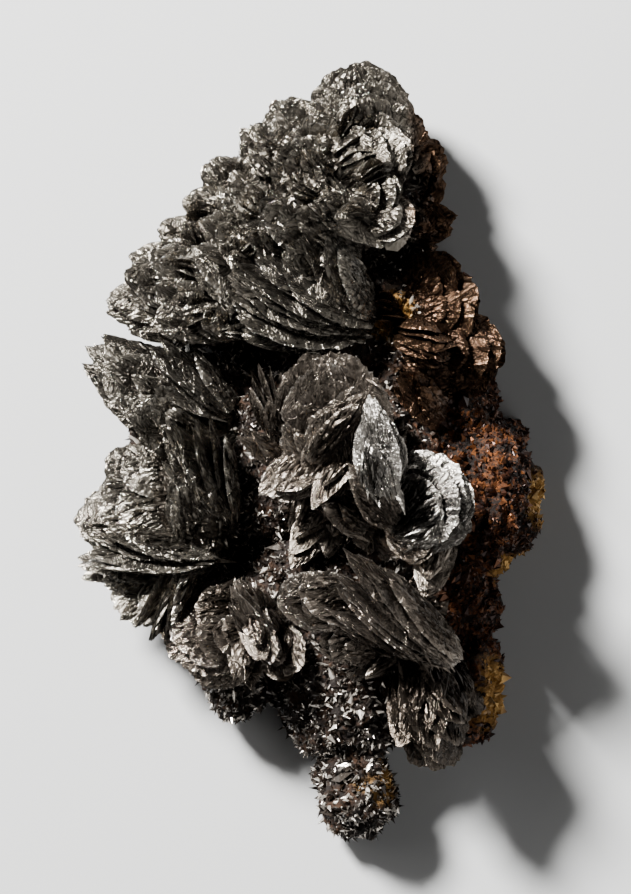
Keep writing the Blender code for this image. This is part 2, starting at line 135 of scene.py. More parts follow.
def turn_to(normals, forward):
    """Rotation matrices, one per row, whose Z is the normal and whose X is as near forward as it can be."""
    normals = normals / np.linalg.norm(normals, axis=1, keepdims=True)
    x_axis = forward - normals * np.sum(forward * normals, axis=1, keepdims=True)
    x_axis /= np.linalg.norm(x_axis, axis=1, keepdims=True) + 1e-9
    y_axis = np.cross(normals, x_axis)
    return np.stack([x_axis, y_axis, normals], axis=2)


def small_turns(random, count, roll, pitch, yaw):
    """Random small rotations about X, Y and Z, whose spreads are in degrees."""
    angles = np.radians(random.normal(0, 1, (count, 3)) * np.array([roll, pitch, yaw]))
    (cx, cy, cz), (sx, sy, sz) = np.cos(angles).T, np.sin(angles).T
    zero, one = np.zeros(count), np.ones(count)
    about_x = np.array([[one, zero, zero], [zero, cx, -sx], [zero, sx, cx]])
    about_y = np.array([[cy, zero, sy], [zero, one, zero], [-sy, zero, cy]])
    about_z = np.array([[cz, -sz, zero], [sz, cz, zero], [zero, zero, one]])
    return np.einsum("ijn,jkn,kln->nil", about_z, about_y, about_x)


def as_arrays(shape):
    """A bmesh's vertices and triangles, as arrays. The bmesh is freed."""
    bmesh.ops.triangulate(shape, faces=shape.faces)
    vertices = np.array([v.co[:] for v in shape.verts])
    faces = np.array([[v.index for v in f.verts] for f in shape.faces])
    shape.free()
    return vertices, faces


def blade_shape(corners):
    """A small bladed crystal: a double pyramid with that many corners, long in X and thin in Z."""
    shape = bmesh.new()
    bmesh.ops.create_cone(shape, segments=corners, radius1=1, radius2=0, depth=1, cap_ends=False)
    bmesh.ops.translate(shape, vec=(0, 0, 0.5), verts=shape.verts)
    bmesh.ops.mirror(shape, geom=shape.verts[:] + shape.edges[:] + shape.faces[:], axis="Z", merge_dist=0.01)
    bmesh.ops.recalc_face_normals(shape, faces=shape.faces)
    return as_arrays(shape)


def blades_at(places, turns, sizes, corners=4):
    """One blade crystal at each place: turned, and scaled by its own length, width and thickness."""
    shape, faces = blade_shape(corners)
    vertices = np.einsum("nij,nvj->nvi", turns, shape[None] * sizes[:, None, :]) + places[:, None, :]
    offsets = np.arange(len(places))[:, None, None] * len(shape)
    return vertices.reshape(-1, 3), (faces[None] + offsets).reshape(-1, faces.shape[1]), len(shape)


def druse_density(places, normals):
    """How thickly small crystals cover the rock: less on its sides, and hardly at all near its back."""
    x, y, z = places.T
    cover = np.full(len(places), BARE_COVER)
    for (left, right), (low, high), thickly in DRUSE_PATCHES:
        cover[(x > left) & (x < right) & (y > low) & (y < high)] = thickly
    cover[normals[:, 2] < 0.25] *= 0.8
    cover[(z < 1.5) | (normals[:, 2] < -0.35)] = 0.2
    return cover


def scatter_on(skin, count, density, random):
    """Random places on a triangulated bmesh, with the normals there."""
    corners = np.array([[v.co[:] for v in f.verts] for f in skin.faces])
    normals = np.array([f.normal[:] for f in skin.faces])
    areas = np.array([f.calc_area() for f in skin.faces])
    weights = areas * density(corners.mean(axis=1), normals)
    chosen = random.choice(len(corners), count, p=weights / weights.sum())
    a, b = random.random((2, count, 1))
    fold = (a + b) > 1
    a, b = np.where(fold, 1 - a, a), np.where(fold, 1 - b, b)
    first, second, third = corners[chosen].transpose(1, 0, 2)
    return first + (second - first) * a + (third - first) * b, normals[chosen]


def near_spots(places, spots):
    """1 at the spots, 0 away from them."""
    nearest = np.zeros(len(places))
    for centre, reach in spots:
        distance = np.linalg.norm(places - np.array(centre), axis=1)
        nearest = np.maximum(nearest, np.clip(1.3 - distance / reach, 0, 1))
    return nearest


def on_flank(places):
    """0 left of the flank, 1 on it."""
    return np.clip((places[:, 0] - FLANK_FROM) / FLANK_FADE, 0, 1)


random = np.random.default_rng(7)
skin = rock_skin()
skin.normal_update()
rock_places = np.array([v.co[:] for v in skin.verts])
rock_faces = np.array([[v.index for v in f.verts] for f in skin.faces])
rock = mesh_object("matrix_rock", rock_places, rock_faces)
add_attribute(rock, "ochre", near_spots(rock_places, OCHRE_SPOTS))
add_attribute(rock, "flank", on_flank(rock_places))

places, normals = scatter_on(skin, DRUSE_COUNT, druse_density, random)
skin.free()
outward = normals * 0.75 + random.normal(0, 0.55, normals.shape)
turns = turn_to(np.cross(outward, random.normal(0, 1, normals.shape)), outward)
length = np.exp(random.normal(math.log(DRUSE_LENGTH), 0.38, DRUSE_COUNT))
length[places[:, 1] < -28] *= 1.2  # larger on the stalk
flank = places[:, 0] > 17  # where they are stout, and the rock's own colour
length[flank] *= random.uniform(0.6, 1.2, flank.sum())
slim = np.where(flank, 0.5, 0.2)
broad = random.uniform(0.24, 0.46, DRUSE_COUNT) * np.where(flank, 1.45, 1)
sizes = np.stack([length, length * broad, length * slim], axis=1)
druse_places, druse_faces, corner_count = blades_at(places, turns, sizes)
druse = mesh_object("matrix_druse", druse_places, druse_faces)
add_attribute(druse, "tone", np.repeat(random.random(DRUSE_COUNT), corner_count))
add_attribute(druse, "ochre", near_spots(druse_places, OCHRE_SPOTS))
add_attribute(druse, "flank", on_flank(druse_places))


class Wire:
    """A node's output. Python's operators add Math nodes to it."""

    def __init__(self, finish, socket):
        self.finish = finish
        self.socket = socket

    def math(self, operation, first, second):
        return self.finish.node("ShaderNodeMath", {"operation": operation}, {0: first, 1: second})

    def __add__(self, other):
        return self.math("ADD", self, other)

    __radd__ = __add__

    def __sub__(self, other):
        return self.math("SUBTRACT", self, other)

    def __mul__(self, other):
        return self.math("MULTIPLY", self, other)

    def __pow__(self, other):
        return self.math("POWER", self, other)


class Finish:
    """A material, its Principled shader, and short ways to add nodes to it."""

    def __init__(self, name, constants):
        self.material = bpy.data.materials.new(name)
        self.material.use_nodes = True
        self.tree = self.material.node_tree
        self.shader = self.tree.nodes["Principled BSDF"]
        for socket, value in constants.items():
            self.shader.inputs[socket].default_value = value

    def join(self, value, socket):
        """Links a wire to the socket, or sets the socket to a number."""
        if isinstance(value, Wire):
            self.tree.links.new(value.socket, socket)
        else:
            socket.default_value = value

    def node(self, kind, settings, inputs, output=0):
        """Adds a node, joins up its inputs, and gives the wire from one of its outputs."""
        made = self.tree.nodes.new(kind)
        for name, value in settings.items():
            setattr(made, name, value)
        for key, value in inputs.items():
            self.join(value, made.inputs[key])
        return Wire(self, made.outputs[output])

    def attribute(self, name):
        return self.node("ShaderNodeAttribute", {"attribute_name": name}, {}, "Fac")

    def place(self):
        """Where the surface is, in metres."""
        return self.node("ShaderNodeTexCoord", {}, {}, "Object")

    def stretched(self, along, across, tone):
        """Where a pattern is drawn that follows the growth: long along it, and its own on each lamella."""
        return self.node("ShaderNodeCombineXYZ", {}, {0: along, 1: across * 1.9, 2: tone * 40})

    def noise(self, vector, size, detail=3.0, rough=0.6):
        """Noise from 0 to 1 whose largest features are size across."""
        return self.node("ShaderNodeTexNoise", {}, {"Vector": vector, "Scale": 1 / size, "Detail": detail,
                                                    "Roughness": rough})

    def cells(self, vector, size):
        """How far it is to the middle of the nearest cell, of cells that are size across."""
        return self.node("ShaderNodeTexVoronoi", {}, {"Vector": vector, "Scale": 1 / size}, "Distance")

    def ramp(self, value, low, high):
        """0 below low, 1 above high, smooth between."""
        return self.node("ShaderNodeMapRange", {"interpolation_type": "SMOOTHSTEP"},
                         {"Value": value, "From Min": low, "From Max": high})

    def blend(self, factor, first, second):
        """A colour between two, each given as red, green and blue."""
        ends = [end if isinstance(end, Wire) else (*end, 1) for end in (first, second)]
        return self.node("ShaderNodeMix", {"data_type": "RGBA"}, {0: factor, 6: ends[0], 7: ends[1]}, 2)

    def tint(self, factor, colour, by):
        """The colour, multiplied by another as far as the factor says."""
        return self.node("ShaderNodeMix", {"data_type": "RGBA", "blend_type": "MULTIPLY"},
                         {0: factor, 6: colour, 7: (*by, 1)}, 2)

    def finish(self, colour, roughness, height, depth):
        """Joins the surface up. height is relief from 0 to 1, and depth how deep it goes, in metres."""
        bump = self.node("ShaderNodeBump", {}, {"Strength": 1.0, "Distance": depth, "Height": height})
        self.join(colour, self.shader.inputs["Base Color"])
        self.join(roughness, self.shader.inputs["Roughness"])
        self.join(bump, self.shader.inputs["Normal"])
        return self.material


ROCK_BROWN, ROCK_RUST = (0.006, 0.004, 0.003), (0.028, 0.013, 0.006)
FLANK_RED = (0.11, 0.032, 0.006)
ROCK_OCHRE = (0.27, 0.14, 0.035)


def rock_finish():
    """Matt and gritty: brown with rust stains, red on the flank, and ochre at the spots."""
    made = Finish("rusty_rock", {"Specular IOR Level": 0.15})
    place = made.place()
    stain = made.ramp(made.noise(place, 3 * MM, 5, 0.75), 0.42, 0.66)
    grit = made.noise(place, 0.5 * MM, 5, 0.7)
    pits = made.cells(place, 0.8 * MM)
    rust = made.blend(stain, ROCK_BROWN, ROCK_RUST)
    red = made.attribute("flank") * made.ramp(grit + stain * 0.3, 0.5, 0.95)
    rust = made.blend(red, rust, FLANK_RED)
    ochre = made.ramp(made.attribute("ochre") * 1.2 + grit * 0.5, 0.5, 1.1)
    colour = made.blend(ochre, rust, ROCK_OCHRE)
    return made.finish(colour, 0.6 + grit * 0.3, grit * 0.7 + pits * 0.5, 0.55 * MM)


DRUSE_BROWN, DRUSE_GLINT = (0.013, 0.008, 0.005), (0.85, 0.77, 0.67)
RUSTY_BROWN, RUSTY_RED = (0.014, 0.004, 0.002), (0.1, 0.031, 0.005)
DRUSE_OCHRE = (0.36, 0.21, 0.06)


def druse_finish():
    """Glittering small crystals: few of them pale and most dark, and duller and red on the flank."""
    made = Finish("brown_druse", {"Metallic": 0.6})
    tone = made.attribute("tone")
    flank = made.attribute("flank")
    grain = made.noise(made.place(), 0.4 * MM, 2)
    dark = made.blend(tone ** 4, DRUSE_BROWN, DRUSE_GLINT)
    rusty = made.blend(tone ** 2, RUSTY_BROWN, RUSTY_RED)
    colour = made.blend(made.ramp(flank + grain * 0.4, 0.5, 0.9), dark, rusty)
    colour = made.blend(made.ramp(made.attribute("ochre") + tone * 0.4, 0.6, 1.1), colour, DRUSE_OCHRE)
    return made.finish(colour, 0.12 + tone * 0.12 + flank * 0.25, grain, 0.05 * MM)


rock.data.materials.append(rock_finish())
druse.data.materials.append(druse_finish())
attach(rock, "root")
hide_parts("matrix")
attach(druse, "root")


# ---- Crown crystals -------------------------------------------------------------------------------------
# The largest group. Every crystal is a sheaf: thin lamellae that share a root, fan out to their tips and
# are shingled with small blades of the same mineral. Small scales, which are sheaves too, stand on them,
# and the outer sheaves hang over the matrix's flank.

# root and tip in mm, face is the way that the lamellae face, width and thick are the sheaf's in mm, lean is
# the angle in degrees that the outer lamellae lean away by, bow curls the tip and dish the sides (shares of
# the size), point is 0 for a round tip and 0.5 for a sharp one
Sheaf = namedtuple("Sheaf", "root tip face width thick lean bow dish point")
CROWN_RIM = [
    Sheaf((9, 40, 14), (8, 55, 16), (0.1, 0.3, 1), 14, 9, 14, -0.05, 0.06, 0),
    Sheaf((6, 38, 14), (-3.5, 49.5, 17), (-0.2, 0.3, 1), 10, 6, 10, -0.05, 0.06, 0),
    Sheaf((2, 35, 14), (-8.5, 46, 16), (-0.2, 0.3, 1), 9, 5, 10, -0.05, 0.06, 0.2),
    Sheaf((-1.6, 33, 13.4), (-13.6, 41.3, 16), (-0.1, 0.3, 1), 8, 4.5, 8, -0.04, 0.05, 0.1),
    Sheaf((-4, 30, 14), (-17, 36.8, 16), (-0.1, 0.3, 1), 8, 4.5, 8, -0.04, 0.05, 0.1),
    Sheaf((-6, 27, 14), (-20.6, 32.3, 15), (-0.1, 0.4, 1), 8.5, 4.5, 8, -0.04, 0.05, 0.05),
    Sheaf((-8, 25, 14), (-24.2, 28.2, 15), (-0.2, 0.4, 1), 8.5, 5, 8, -0.04, 0.05, 0.05),
    Sheaf((-10, 22, 14), (-28.5, 22.3, 15), (-0.1, 0.3, 1), 9, 6, 8, -0.03, 0.05, 0.25),
    Sheaf((-10, 21, 14), (-25, 17.6, 15), (-0.1, 0, 1), 7, 5, 8, -0.04, 0.05, 0.2),
    Sheaf((8, 40, 13), (16.6, 47.5, 14), (0.5, 0, 1), 10, 7, 10, -0.06, 0.06, 0),
    Sheaf((10, 38, 10), (20.6, 42.6, 9), (0.5, 0, 1), 9, 7, 10, -0.06, 0.06, 0),
    Sheaf((10, 36, 9), (20.8, 37.6, 8), (0.5, -0.1, 1), 6, 6, 10, -0.06, 0.06, 0),
    Sheaf((10, 32, 9), (21.8, 32.4, 9), (0.3, -0.4, 1), 7, 6, 10, -0.05, 0.06, 0.2),
]
CROWN_FACE = [
    Sheaf((3, 35, 17), (13, 45.6, 22), (-0.4, 0.3, 0.9), 11, 8, 14, -0.08, 0.08, 0),
    Sheaf((15, 32, 19), (2.5, 34.6, 27), (0, 0.4, 1), 8, 5, 8, -0.04, 0.06, 0.2),
    Sheaf((6, 34, 18), (-3.5, 42.3, 25), (-0.1, 0.3, 1), 9, 5, 8, -0.04, 0.06, 0),
    Sheaf((8, 28, 18), (-4.5, 36, 28), (-0.1, 0.2, 1), 8, 5, 8, -0.05, 0.06, 0),
    Sheaf((-2, 27, 17), (-13.5, 32.5, 24), (-0.3, 0.3, 1), 6.5, 5, 8, -0.05, 0.06, 0),
    Sheaf((-2, 32, 17), (-11, 38, 22), (-0.2, 0.4, 1), 7, 4, 8, -0.05, 0.06, 0.1),
    Sheaf((-7, 22, 16), (-21, 29, 21), (-0.3, 0.3, 1), 8, 5, 8, -0.05, 0.06, 0),
    Sheaf((-3, 21, 19), (-15.5, 28, 25), (-0.2, 0.6, 0.8), 9, 5, 10, -0.05, 0.06, 0.1),
    Sheaf((-8, 20, 17), (-21, 19, 23), (-0.1, 0.2, 1), 8, 6, 8, -0.05, 0.06, 0.1),
    Sheaf((-6, 19, 18), (-14, 17.4, 25), (0.1, 0, 1), 6, 4, 8, -0.05, 0.06, 0.1),
]
WING = [
    Sheaf((10, 19, 17), (-11, 23.5, 26), (-0.05, 0.72, 0.7), 12, 9, 13, 0.02, 0.05, 0.05),
    Sheaf((10, 20, 18), (-1.5, 29.6, 27), (-0.3, 0.65, 0.75), 10, 7, 12, -0.02, 0.06, 0),
    Sheaf((9, 17.5, 15), (-9.5, 17, 23), (0, 0.6, 0.75), 7, 5, 10, 0.02, 0.05, 0.05),
]
CROWN_LUMPS = [
    Sheaf((-1, 30, 18), (-7.5, 31, 26), (-0.2, 0.3, 1), 6.5, 4, 8, -0.05, 0.06, 0),
    Sheaf((2, 40, 17), (2, 47.5, 22), (-0.1, 0.2, 1), 7, 4, 8, -0.05, 0.06, 0),
]
CROWN_HUBS = [Lump((4, 35, 14), (11, 11, 8)), Lump((-5, 23, 14), (11, 6, 8))]
LAMELLA = 0.85  # mm, what one lamella takes of a sheaf's thickness
# half is a shingle's half length in mm, slender its width over its length, thickly how many there are to a
# square mm, outer how near they come to the rim (of 1), tilt how far their tips are lifted, in degrees
Shingle = namedtuple("Shingle", "half corners slender thickly outer tilt")
FIBRES = [Shingle(1.1, 4, 0.2, 0.5, 0.93, 4), Shingle(0.6, 4, 0.3, 0.4, 0.95, 7)]
FLAKES = [
    Shingle(0.8, 6, 0.55, 0.22, 0.96, 6),
    Shingle(0.5, 6, 0.6, 0.3, 0.97, 9),
    Shingle(0.7, 4, 0.25, 0.35, 0.93, 6),
]


def below(sheaf, down):
    """The sheaf that grows under this one, on the flank of the matrix: shorter, and facing outwards."""
    root, tip, face = Vector(sheaf.root), Vector(sheaf.tip), Vector(sheaf.face)
    out = tip - root
    out.z = 0
    root.z -= down
    tip = root + out * 0.9
    tip.z = max(sheaf.tip[2] - down * 1.15, sheaf.thick * 0.5 + 1)
    face = face.normalized() * 0.6 + out.normalized() * 0.8
    return sheaf._replace(root=tuple(root), tip=tuple(tip), face=tuple(face))


CROWN = CROWN_RIM + CROWN_FACE + WING + CROWN_LUMPS + [below(sheaf, 6) for sheaf in CROWN_RIM]


def waves(points, seed, count=7):
    """Smooth noise about 0, made of plane waves in random directions. Its features are about 1 across."""
    random = np.random.default_rng(seed)
    directions = random.normal(0, 1, (points.shape[1], count))
    directions *= random.uniform(0.6, 1.5, count) / np.linalg.norm(directions, axis=0)
    phases = random.uniform(0, 2 * math.pi, count)
    return np.sin(points @ directions * math.pi + phases).mean(axis=1) * 1.7


def plates(points, lean, seed):
    """A skin broken into plates, about one to each square of the points' units, which lean one way.

    Gives how high the plate stands at each point, how deep the crack is there, and the plate's shade.
    """
    table = np.random.default_rng(seed).random((16, 16, 5))
    square = np.floor(points).astype(int)
    nearest = np.full(len(points), 9.0)
    second, height, shade = nearest.copy(), nearest.copy(), nearest.copy()
    for step in np.ndindex(3, 3):
        own = square + np.array(step) - 1
        plate = table[own[:, 0] % 16, own[:, 1] % 16]
        offset = points - own - plate[:, :2]
        distance = np.hypot(*offset.T)
        closer = distance < nearest
        second = np.where(closer, nearest, np.minimum(second, distance))
        nearest = np.where(closer, distance, nearest)
        slope = (offset * (lean + (plate[:, 2:4] - 0.5) * 1.3)).sum(axis=1)
        height = np.where(closer, plate[:, 4] * 0.7 - 0.35 + slope, height)
        shade = np.where(closer, plate[:, 4], shade)
    return height, np.clip(1 - (second - nearest) / 0.22, 0, 1), shade


def ball(segments, rings):
    """A unit ball with its poles at Z = -1 and 1."""
    shape = bmesh.new()
    bmesh.ops.create_uvsphere(shape, u_segments=segments, v_segments=rings, radius=1)
    return as_arrays(shape)


def two_sided(columns, rows, cuts, fine_top):
    """A unit ball pressed of two grids that share a rim: its top is +Y, and Z runs from root to tip.

    The rim, and with fine_top the top too, is split further by the cuts.
    """
    shape = bmesh.new()
    bmesh.ops.create_grid(shape, x_segments=columns, y_segments=rows, size=1)
    copied = bmesh.ops.duplicate(shape, geom=shape.verts[:] + shape.edges[:] + shape.faces[:])["geom"]
    under = {item for item in copied if isinstance(item, bmesh.types.BMVert)}
    for vertex in shape.verts:
        inside = max(abs(vertex.co.x), abs(vertex.co.y)) < 0.999
        vertex.co.z = (-1 if vertex in under else 1) * inside
    bmesh.ops.remove_doubles(shape, verts=shape.verts, dist=0.001)
    split = []
    for edge in shape.edges:
        first, second = [vertex.co.z for vertex in edge.verts]
        if first == second == 0 or (fine_top and first + second > 0):
            split.append(edge)
    bmesh.ops.subdivide_edges(shape, edges=split, cuts=cuts, use_grid_fill=True)
    for vertex in shape.verts:
        x, z, side = vertex.co
        across, along = x * math.sqrt(1 - z * z / 2), z * math.sqrt(1 - x * x / 2)
        through = math.sqrt(max(0, 1 - across * across - along * along))
        vertex.co = (across, math.copysign(through, side) if abs(side) > 0.001 else 0, along)
    bmesh.ops.recalc_face_normals(shape, faces=shape.faces)
    return as_arrays(shape)


def leaflets(sheaves, each, seed):
    """Small round sheaves that stand on edge on the faces of the given ones, a little askew."""
    random = np.random.default_rng(seed)
    grown = []
    for sheaf in sheaves:
        root, tip = Vector(sheaf.root), Vector(sheaf.tip)
        along = tip - root
        long = along.length
        along.normalize()
        normal = Vector(sheaf.face)
        normal = (normal - along * normal.dot(along)).normalized()
        across = normal.cross(along)
        for _ in range(each):
            start = root + along * long * random.uniform(0.15, 0.62) + normal * sheaf.thick * 0.2
            start += across * sheaf.width * random.uniform(-0.32, 0.32)
            turn = random.normal(0, 0.45)
            heading = along * math.cos(turn) * 0.75 + across * math.sin(turn)
            heading += normal * random.uniform(0.45, 0.8)
            end = start + heading * long * random.uniform(0.22, 0.34)
            face = along * 0.8 + normal * 0.7 + across * random.normal(0, 0.35)
            width, thick = sheaf.width * random.uniform(0.42, 0.62), random.uniform(2.2, 3)
            grown.append(Sheaf(tuple(start), tuple(end), tuple(face), width, thick, lean=12, bow=-0.04,
                               dish=0.08, point=random.uniform(0, 0.15)))
    return grown


def unit(vector):
    """The vector, 1 long."""
    return np.asarray(vector) / np.linalg.norm(vector)


def turned(first, second, angle):
    """Two square axes, turned by an angle in their own plane."""
    return (first * math.cos(angle) + second * math.sin(angle),
            second * math.cos(angle) - first * math.sin(angle))


# What the skin of a lamella is like: plate is one plate's length and width in mm, lean how steeply it
# rises along and across, tall and crack how high the plates stand and how deep the cracks are in mm,
# ragged how far the rim is broken (of the size), facet the top lamella's mesh step along and across in mm
Skin = namedtuple("Skin", "plate lean tall crack ragged facet")
SCALY = Skin((2.6, 0.75), (0.3, 0.7), 0.28, 0.25, 0.07, (0.54, 0.32))
STREAKY = Skin((3.4, 0.95), (0.3, 0.8), 0.5, 0.35, 0.08, (0.6, 0.28))
UPPER_LEFT = np.array((-0.66, 0.74, 0))  # the side that most plates face
ASKEW = 4  # degrees, how far a lamella is turned at random


def on_lamella(sheaf, number, count, seed, unit_places, skin):
    """Maps the unit ball to a lamella: Z runs from its root to its tip, X across it, Y through it.

    Gives the places, the mm along and across the lamella that its finish is drawn in, and its shade.
    """
    random = np.random.default_rng(seed)
    jitter = random.normal(0, 1, 4)

    # its own axes, its place in the sheaf (side is -1 at the bottom, 1 at the top) and its size
    root, tip = np.array(sheaf.root), np.array(sheaf.tip)
    along = unit(tip - root)
    facing = np.array(sheaf.face)
    normal = unit(facing - along * facing.dot(along))
    across = np.cross(normal, along)
    side = 2 * (number + 0.5 + 0.22 * jitter[3]) / count - 1
    size = math.sqrt(1 - 0.55 * min(1, side * side)) * (1.02 - 0.05 * abs(jitter[0]))
    length = np.linalg.norm(tip - root) * size
    width = sheaf.width * size
    thick = sheaf.thick / count

    # the outline: widest nearer the root where it is pointed, with a broken rim
    x, y, z = unit_places.T
    share = (1 + z) / 2
    flat = 1 - np.clip(np.hypot(x, z), 0, 1) ** 6
    widest = 0.5 / (1 + sheaf.point)
    most = 2 * widest**0.5 * (1 - widest) ** (0.5 + sheaf.point)
    taper = np.clip(1 - share, 1e-6, 1) ** sheaf.point / most
    angle = np.arctan2(x, z)
    rim = np.stack([angle * width / 3.2, np.full(len(x), number * 0.35)], axis=1)
    broken = 0.5 * waves(rim, seed + 1) - 0.8 * np.abs(waves(rim * 2.3, seed + 2))
    broken -= 1.3 * np.clip(waves(rim * 1.4, seed + 6) - 0.45, 0, 1)
    broken += 0.5 * random.random(64)[np.floor(rim[:, 0] / 0.8).astype(int) % 64]
    ragged = 1 + skin.ragged * broken
    spread = x * width / 2 * taper * ragged
    reach = length * (0.5 + 0.5 * z * ragged)

    # the skin: plates and fibres that follow the growth, which fans out from behind the root
    growth = np.hypot(spread, reach + 0.25 * length)
    fan = np.arctan2(spread, reach + 0.25 * length) * 0.8 * length
    drawn = np.stack([growth / skin.plate[0], fan / skin.plate[1]], axis=1)
    drawn += 0.25 * np.stack([waves(drawn, seed + 7), waves(drawn, seed + 8)], axis=1)
    opening = -np.sign(np.array([along @ UPPER_LEFT, across @ UPPER_LEFT]) + random.normal(0, 0.25, 2))
    height, crack, shade = plates(drawn, np.array(skin.lean) * opening, seed + 3)
    fibre = np.abs(waves(np.stack([growth / 5, fan / 0.55], axis=1), seed + 4))
    relief = skin.tall * height - skin.crack * crack - 0.12 * fibre + random.normal(0, 0.03, len(x))

    # the height over its middle plane, where covered lamellae are thinner than the top one
    curl = 0.3 * waves(rim * 0.45, seed + 5) * (x * x + z * z) ** 2
    body = thick * (1.1 if number == count - 1 else 0.5)
    above = np.maximum(body * np.abs(y) + relief * flat, 0.05 * np.abs(y))
    lift = np.where(y > 0, above, y * thick * 0.4) + curl
    lift += side * sheaf.thick / 2 * (0.4 + 0.6 * share) * 0.62
    lift += sheaf.bow * length * share**2 - sheaf.dish * sheaf.width * x**2

    # fanned out by its place in the sheaf, and askew by a few degrees
    forward, upward = turned(along, normal, math.radians(sheaf.lean * side))
    forward, sideways = turned(forward, across, math.radians(jitter[1] * ASKEW))
    sideways, upward = turned(sideways, upward, math.radians(jitter[2] * ASKEW))
    places = root + reach[:, None] * forward + spread[:, None] * sideways + lift[:, None] * upward
    return places, np.stack([growth, fan], axis=1), shade


class Crystals:
    """Gathers shapes and what their finish reads, then makes one object of them."""

    def __init__(self):
        self.vertices = []
        self.faces = []
        self.values = []
        self.total = 0

    def add(self, vertices, faces, growth, rim, tone):
        """growth is mm along and across, rim is 1 at a lamella's rim, tone is a random shade."""
        self.vertices.append(vertices)
        self.faces.append(faces + self.total)
        columns = [np.broadcast_to(value, len(vertices)) for value in (rim, tone)]
        self.values.append(np.column_stack([growth, *columns]))
        self.total += len(vertices)

    def make(self, name):
        made = mesh_object(name, np.concatenate(self.vertices), np.concatenate(self.faces))
        for label, values in zip(("along", "across", "rim", "tone"), np.concatenate(self.values).T):
            add_attribute(made, label, values)
        return made


CURVE_PULL = 60  # how much more a blade's heading follows the lamella's curve than its root's direction


def shingles(sheaf, number, count, seed, places, kind, skin):
    """Blades on a lamella at the unit ball's places, laid along its growth with their tips lifted."""
    random = np.random.default_rng(seed + round(kind.half * 100))
    amount = len(places)
    x, y, z = places.T

    def moved(dx, dz):
        step = np.stack([x + dx, y, z + dz], axis=1)
        room = np.sqrt(np.clip(1 - step[:, 0] ** 2 - step[:, 2] ** 2, 0, 1))
        step[:, 1] = np.sign(y) * room
        return on_lamella(sheaf, number, count, seed, step, skin._replace(tall=0, crack=0))

    at, growth, _ = moved(0, 0)
    step = 0.04  # of the ball, towards its middle, which gives the slope there
    inward_x = np.where(x > 0, -step, step)
    inward_z = np.where(z > 0, -step, step)
    sideways = (moved(inward_x, 0)[0] - at) * np.sign(inward_x)[:, None]
    onward = (moved(0, inward_z)[0] - at) * np.sign(inward_z)[:, None]
    normals = np.cross(sideways, onward) * np.sign(y)[:, None] * -1
    turns = turn_to(normals, at - np.array(sheaf.root) + onward * CURVE_PULL)
    lifted = math.radians(kind.tilt)
    up = math.sin(lifted)
    lift = np.array([[math.cos(lifted), 0, -up], [0, 1, 0], [up, 0, math.cos(lifted)]])
    turns = turns @ lift @ small_turns(random, amount, roll=11, pitch=6, yaw=10)
    half = kind.half * np.exp(random.normal(0, 0.3, amount))
    broad = half * kind.slender * random.uniform(0.75, 1.3, amount)
    sizes = np.stack([half, broad, (half + broad) * random.uniform(0.09, 0.14, amount)], axis=1)
    centres = at - turns[:, :, 0] * half[:, None] * 0.75
    vertices, faces, points = blades_at(centres, turns, sizes, kind.corners)
    return vertices, faces, np.repeat(growth, points, axis=0), np.repeat(random.random(amount), points)


HUB_BRISTLES = 9  # blades to a square mm of a hub's mean radius squared
HUB_BLADE = 0.9  # half of a usual blade's length


def grow_hub(group, hub, seed, random):
    """The knobbly mass that the sheaves spring from, bristling with small blades."""
    places, faces = ball(24, 16)
    places = places * np.array(hub.radii) * (0.9 + 0.1 * waves(places * 2, seed))[:, None]
    group.add(places + np.array(hub.centre), faces, places[:, :2], 0, 0.1)
    amount = int(np.prod(hub.radii) ** (2 / 3) * HUB_BRISTLES)
    normals = random.normal(0, 1, (amount, 3))
    normals /= np.linalg.norm(normals, axis=1, keepdims=True)
    at = normals * np.array(hub.radii) * 0.93
    outward = normals + random.normal(0, 0.4, normals.shape)
    turns = turn_to(np.cross(outward, random.normal(0, 1, normals.shape)), outward)
    half = HUB_BLADE * np.exp(random.normal(0, 0.35, amount))
    sizes = np.stack([half, half * random.uniform(0.35, 0.7, amount), half * 0.2], axis=1)
    vertices, faces, points = blades_at(at + np.array(hub.centre), turns, sizes)
    group.add(vertices, faces, vertices[:, :2], 0, np.repeat(random.random(amount), points) * 0.7)


CUTS = 3  # how many times an edge of a lamella's first grid is cut
TOP_SQUARE = 4.4  # how many facets a square of the top lamella's first grid is long
COVERED_SQUARE = (2.2, 2.6)  # mm, a square of a covered lamella's first grid, across and along
COVERED_SHARE = 0.22  # how many shingles a covered lamella has, of the top one's
RIM_FROM = 0.86  # of the size: covered lamellae have shingles only outside this
ROOT_CLEAR = 0.86 * math.pi  # no shingle stands further round from the tip than this


